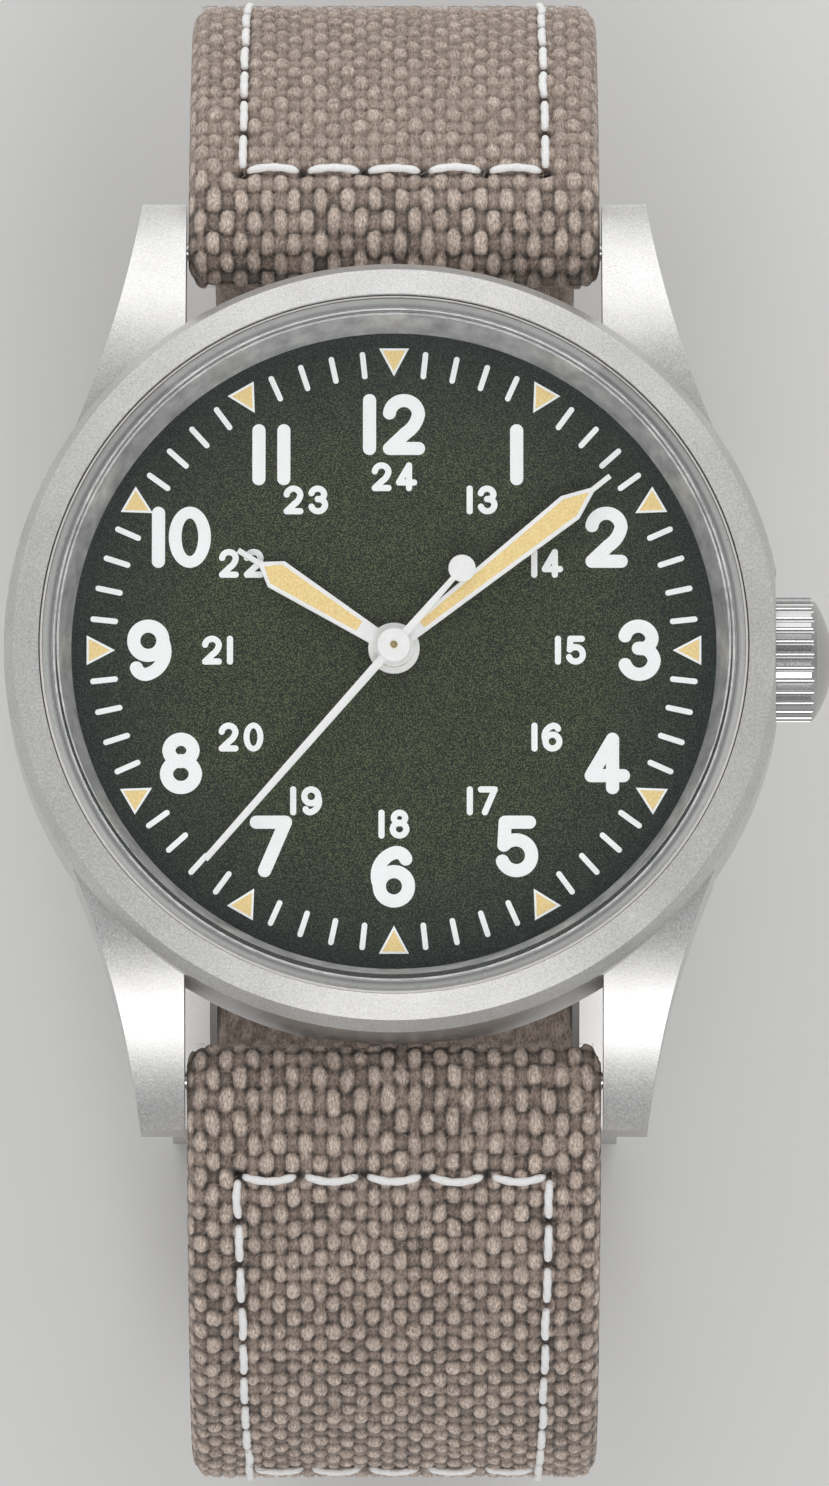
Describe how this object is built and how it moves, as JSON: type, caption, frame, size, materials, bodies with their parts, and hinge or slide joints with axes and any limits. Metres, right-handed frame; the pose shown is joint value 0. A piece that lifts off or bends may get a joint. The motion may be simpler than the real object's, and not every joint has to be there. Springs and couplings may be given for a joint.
{
  "type": "field watch",
  "caption": "Round steel field watch on a buckled canvas strap, with printed hour numerals, luminous triangles, framed hands, fluted crown and hand-wound movement.",
  "frame": {"origin": "middle of the fixed keeper's outer face, the lowest plane of the closed strap", "axes": "+Z out of the dial along the hands' arbor, +Y to 12 o'clock, +X to 3 o'clock and the crown"},
  "size_m": [0.0404, 0.0736, 0.045],
  "materials": {
    "case_steel": "bead-blasted",
    "buckle_steel": "bead-blasted",
    "spring_bar_steel": "turned",
    "crystal": "polished",
    "gasket": "matt",
    "rehaut": "satin",
    "stem_steel": "turned",
    "movement_ring": "matt",
    "dial_green": "fine grained",
    "dial_print": "printed",
    "lume": "grainy",
    "hand_steel": "polished",
    "movement_plate": "nickel-plated",
    "ruby": "polished",
    "wheel_brass": "gilt",
    "canvas": "coarse weave"
  },
  "bodies": {
    "watch": {"case_middle": "case_steel", "bezel": "case_steel", "crystal": "crystal", "crystal_gasket": "gasket", "rehaut_ring": "rehaut", "caseback": "case_steel", "caseback_gasket": "gasket", "crown_tube": "stem_steel", "movement_ring": "movement_ring", "casing_clamps": "stem_steel", "dial": "dial_green", "dial_hour_numerals": "dial_print", "dial_24_hour_numerals": "dial_print", "dial_minute_track": "dial_print", "dial_lume": "lume", "mainplate": "movement_plate", "barrel_bridge": "movement_plate", "train_bridge": "movement_plate", "balance_cock": "movement_plate", "pallet_bridge": "movement_plate", "movement_screws": "stem_steel", "jewels": "ruby", "hairspring": "stem_steel", "strap_upper": "canvas", "strap_lower": "canvas", "spring_bar_tubes": "spring_bar_steel", "spring_bar_springs": "spring_bar_steel", "buckle_frame": "buckle_steel", "buckle_tongue": "buckle_steel", "fixed_keeper": "canvas"},
    "seconds": {"second_hand": "hand_steel", "fourth_wheel": "wheel_brass"},
    "minutes": {"minute_hand": "hand_steel", "minute_hand_lume": "lume", "cannon_pinion": "stem_steel", "centre_wheel": "wheel_brass"},
    "hours": {"hour_hand": "hand_steel", "hour_hand_lume": "lume", "hour_wheel": "wheel_brass"},
    "third": {"third_wheel": "wheel_brass"},
    "escape": {"escape_wheel": "stem_steel"},
    "going_barrel": {"barrel": "wheel_brass", "barrel_cover": "wheel_brass", "mainspring": "stem_steel"},
    "motion": {"minute_wheel": "wheel_brass"},
    "pallets": {"pallet_fork": "stem_steel"},
    "balance": {"balance_wheel": "wheel_brass"},
    "click": {"click": "stem_steel"},
    "crown_seal": {"crown_gasket": "gasket"},
    "crown": {"crown": "case_steel", "stem": "stem_steel"},
    "winder": {"winding_pinion": "stem_steel"},
    "yoke": {"yoke": "stem_steel"},
    "slider": {"sliding_pinion": "stem_steel"},
    "crown_wheel": {"crown_wheel": "stem_steel"},
    "ratchet": {"ratchet_wheel": "stem_steel", "barrel_arbor": "stem_steel"},
    "left_pins": {"spring_bar_pins_left": "spring_bar_steel"},
    "right_pins": {"spring_bar_pins_right": "spring_bar_steel"},
    "free_keeper": {"free_keeper": "canvas"}
  },
  "joints": [
    {"name": "seconds_turn", "type": "hinge", "parent": "watch", "child": "seconds", "pos_m": [0, 0, 0.03995], "axis": [0, 0, -1], "continuous": true},
    {"name": "minutes_turn", "type": "hinge", "parent": "watch", "child": "minutes", "pos_m": [0, 0, 0.03995], "axis": [0, 0, -1], "continuous": true},
    {"name": "hours_turn", "type": "hinge", "parent": "watch", "child": "hours", "pos_m": [0, 0, 0.03995], "axis": [0, 0, -1], "continuous": true},
    {"name": "third_turn", "type": "hinge", "parent": "watch", "child": "third", "pos_m": [0.00171, -0.0047, 0.03995], "axis": [0, 0, -1], "continuous": true},
    {"name": "escape_turn", "type": "hinge", "parent": "watch", "child": "escape", "pos_m": [-0.00383, -0.00321, 0.03995], "axis": [0, 0, -1], "continuous": true},
    {"name": "barrel_turn", "type": "hinge", "parent": "watch", "child": "going_barrel", "pos_m": [0.00125, 0.00587, 0.03995], "axis": [0, 0, -1], "continuous": true},
    {"name": "motion_turn", "type": "hinge", "parent": "watch", "child": "motion", "pos_m": [0.00241, -0.00065, 0.03995], "axis": [0, 0, -1], "continuous": true},
    {"name": "pallets_rock", "type": "hinge", "parent": "watch", "child": "pallets", "pos_m": [-0.00597, -0.00185, 0.03995], "axis": [0, 0, 1], "range_deg": [-5, 5]},
    {"name": "balance_swing", "type": "hinge", "parent": "watch", "child": "balance", "pos_m": [-0.00829, -0.00036, 0.03995], "axis": [0, 0, 1], "range_deg": [-150, 150]},
    {"name": "click_rock", "type": "hinge", "parent": "watch", "child": "click", "pos_m": [-0.00292, 0.00393, 0.03995], "axis": [0, 0, 1], "range_deg": [0, 8]},
    {"name": "crown_pull", "type": "slide", "parent": "watch", "child": "crown_seal", "axis": [1, 0, 0], "range_m": [0, 0.0008]},
    {"name": "crown_turn", "type": "hinge", "parent": "crown_seal", "child": "crown", "pos_m": [0, 0, 0.03955], "axis": [1, 0, 0], "continuous": true},
    {"name": "winder_turn", "type": "hinge", "parent": "watch", "child": "winder", "pos_m": [0, 0, 0.03955], "axis": [1, 0, 0], "continuous": true},
    {"name": "yoke_shift", "type": "slide", "parent": "watch", "child": "yoke", "axis": [1, 0, 0], "range_m": [-0.0004, 0]},
    {"name": "slider_turn", "type": "hinge", "parent": "yoke", "child": "slider", "pos_m": [0, 0, 0.03955], "axis": [1, 0, 0], "continuous": true},
    {"name": "crown_wheel_turn", "type": "hinge", "parent": "watch", "child": "crown_wheel", "pos_m": [0.00427, 0, 0.03995], "axis": [0, 0, 1], "continuous": true},
    {"name": "ratchet_turn", "type": "hinge", "parent": "watch", "child": "ratchet", "pos_m": [0.00125, 0.00587, 0.03995], "axis": [0, 0, 1], "continuous": true},
    {"name": "left_pins_press", "type": "slide", "parent": "watch", "child": "left_pins", "axis": [1, 0, 0], "range_m": [0, 0.00085]},
    {"name": "right_pins_press", "type": "slide", "parent": "watch", "child": "right_pins", "axis": [-1, 0, 0], "range_m": [0, 0.00085]},
    {"name": "free_keeper_slide", "type": "slide", "parent": "watch", "child": "free_keeper", "axis": [0, 1, 0], "range_m": [-0.0034, 0.0062]}
  ],
  "couplings": [
    {"joint": "minutes_turn", "follows": "seconds_turn", "ratio": 0.016667},
    {"joint": "hours_turn", "follows": "seconds_turn", "ratio": 0.0013889},
    {"joint": "third_turn", "follows": "seconds_turn", "ratio": -0.13333},
    {"joint": "escape_turn", "follows": "seconds_turn", "ratio": -12},
    {"joint": "barrel_turn", "follows": "seconds_turn", "ratio": -0.002381},
    {"joint": "motion_turn", "follows": "seconds_turn", "ratio": -0.0055556},
    {"joint": "winder_turn", "follows": "crown_turn", "ratio": 1},
    {"joint": "slider_turn", "follows": "crown_turn", "ratio": 1},
    {"joint": "crown_wheel_turn", "follows": "crown_turn", "ratio": 0.41026},
    {"joint": "ratchet_turn", "follows": "crown_turn", "ratio": -0.26667},
    {"joint": "yoke_shift", "follows": "crown_pull", "ratio": -0.5}
  ]
}
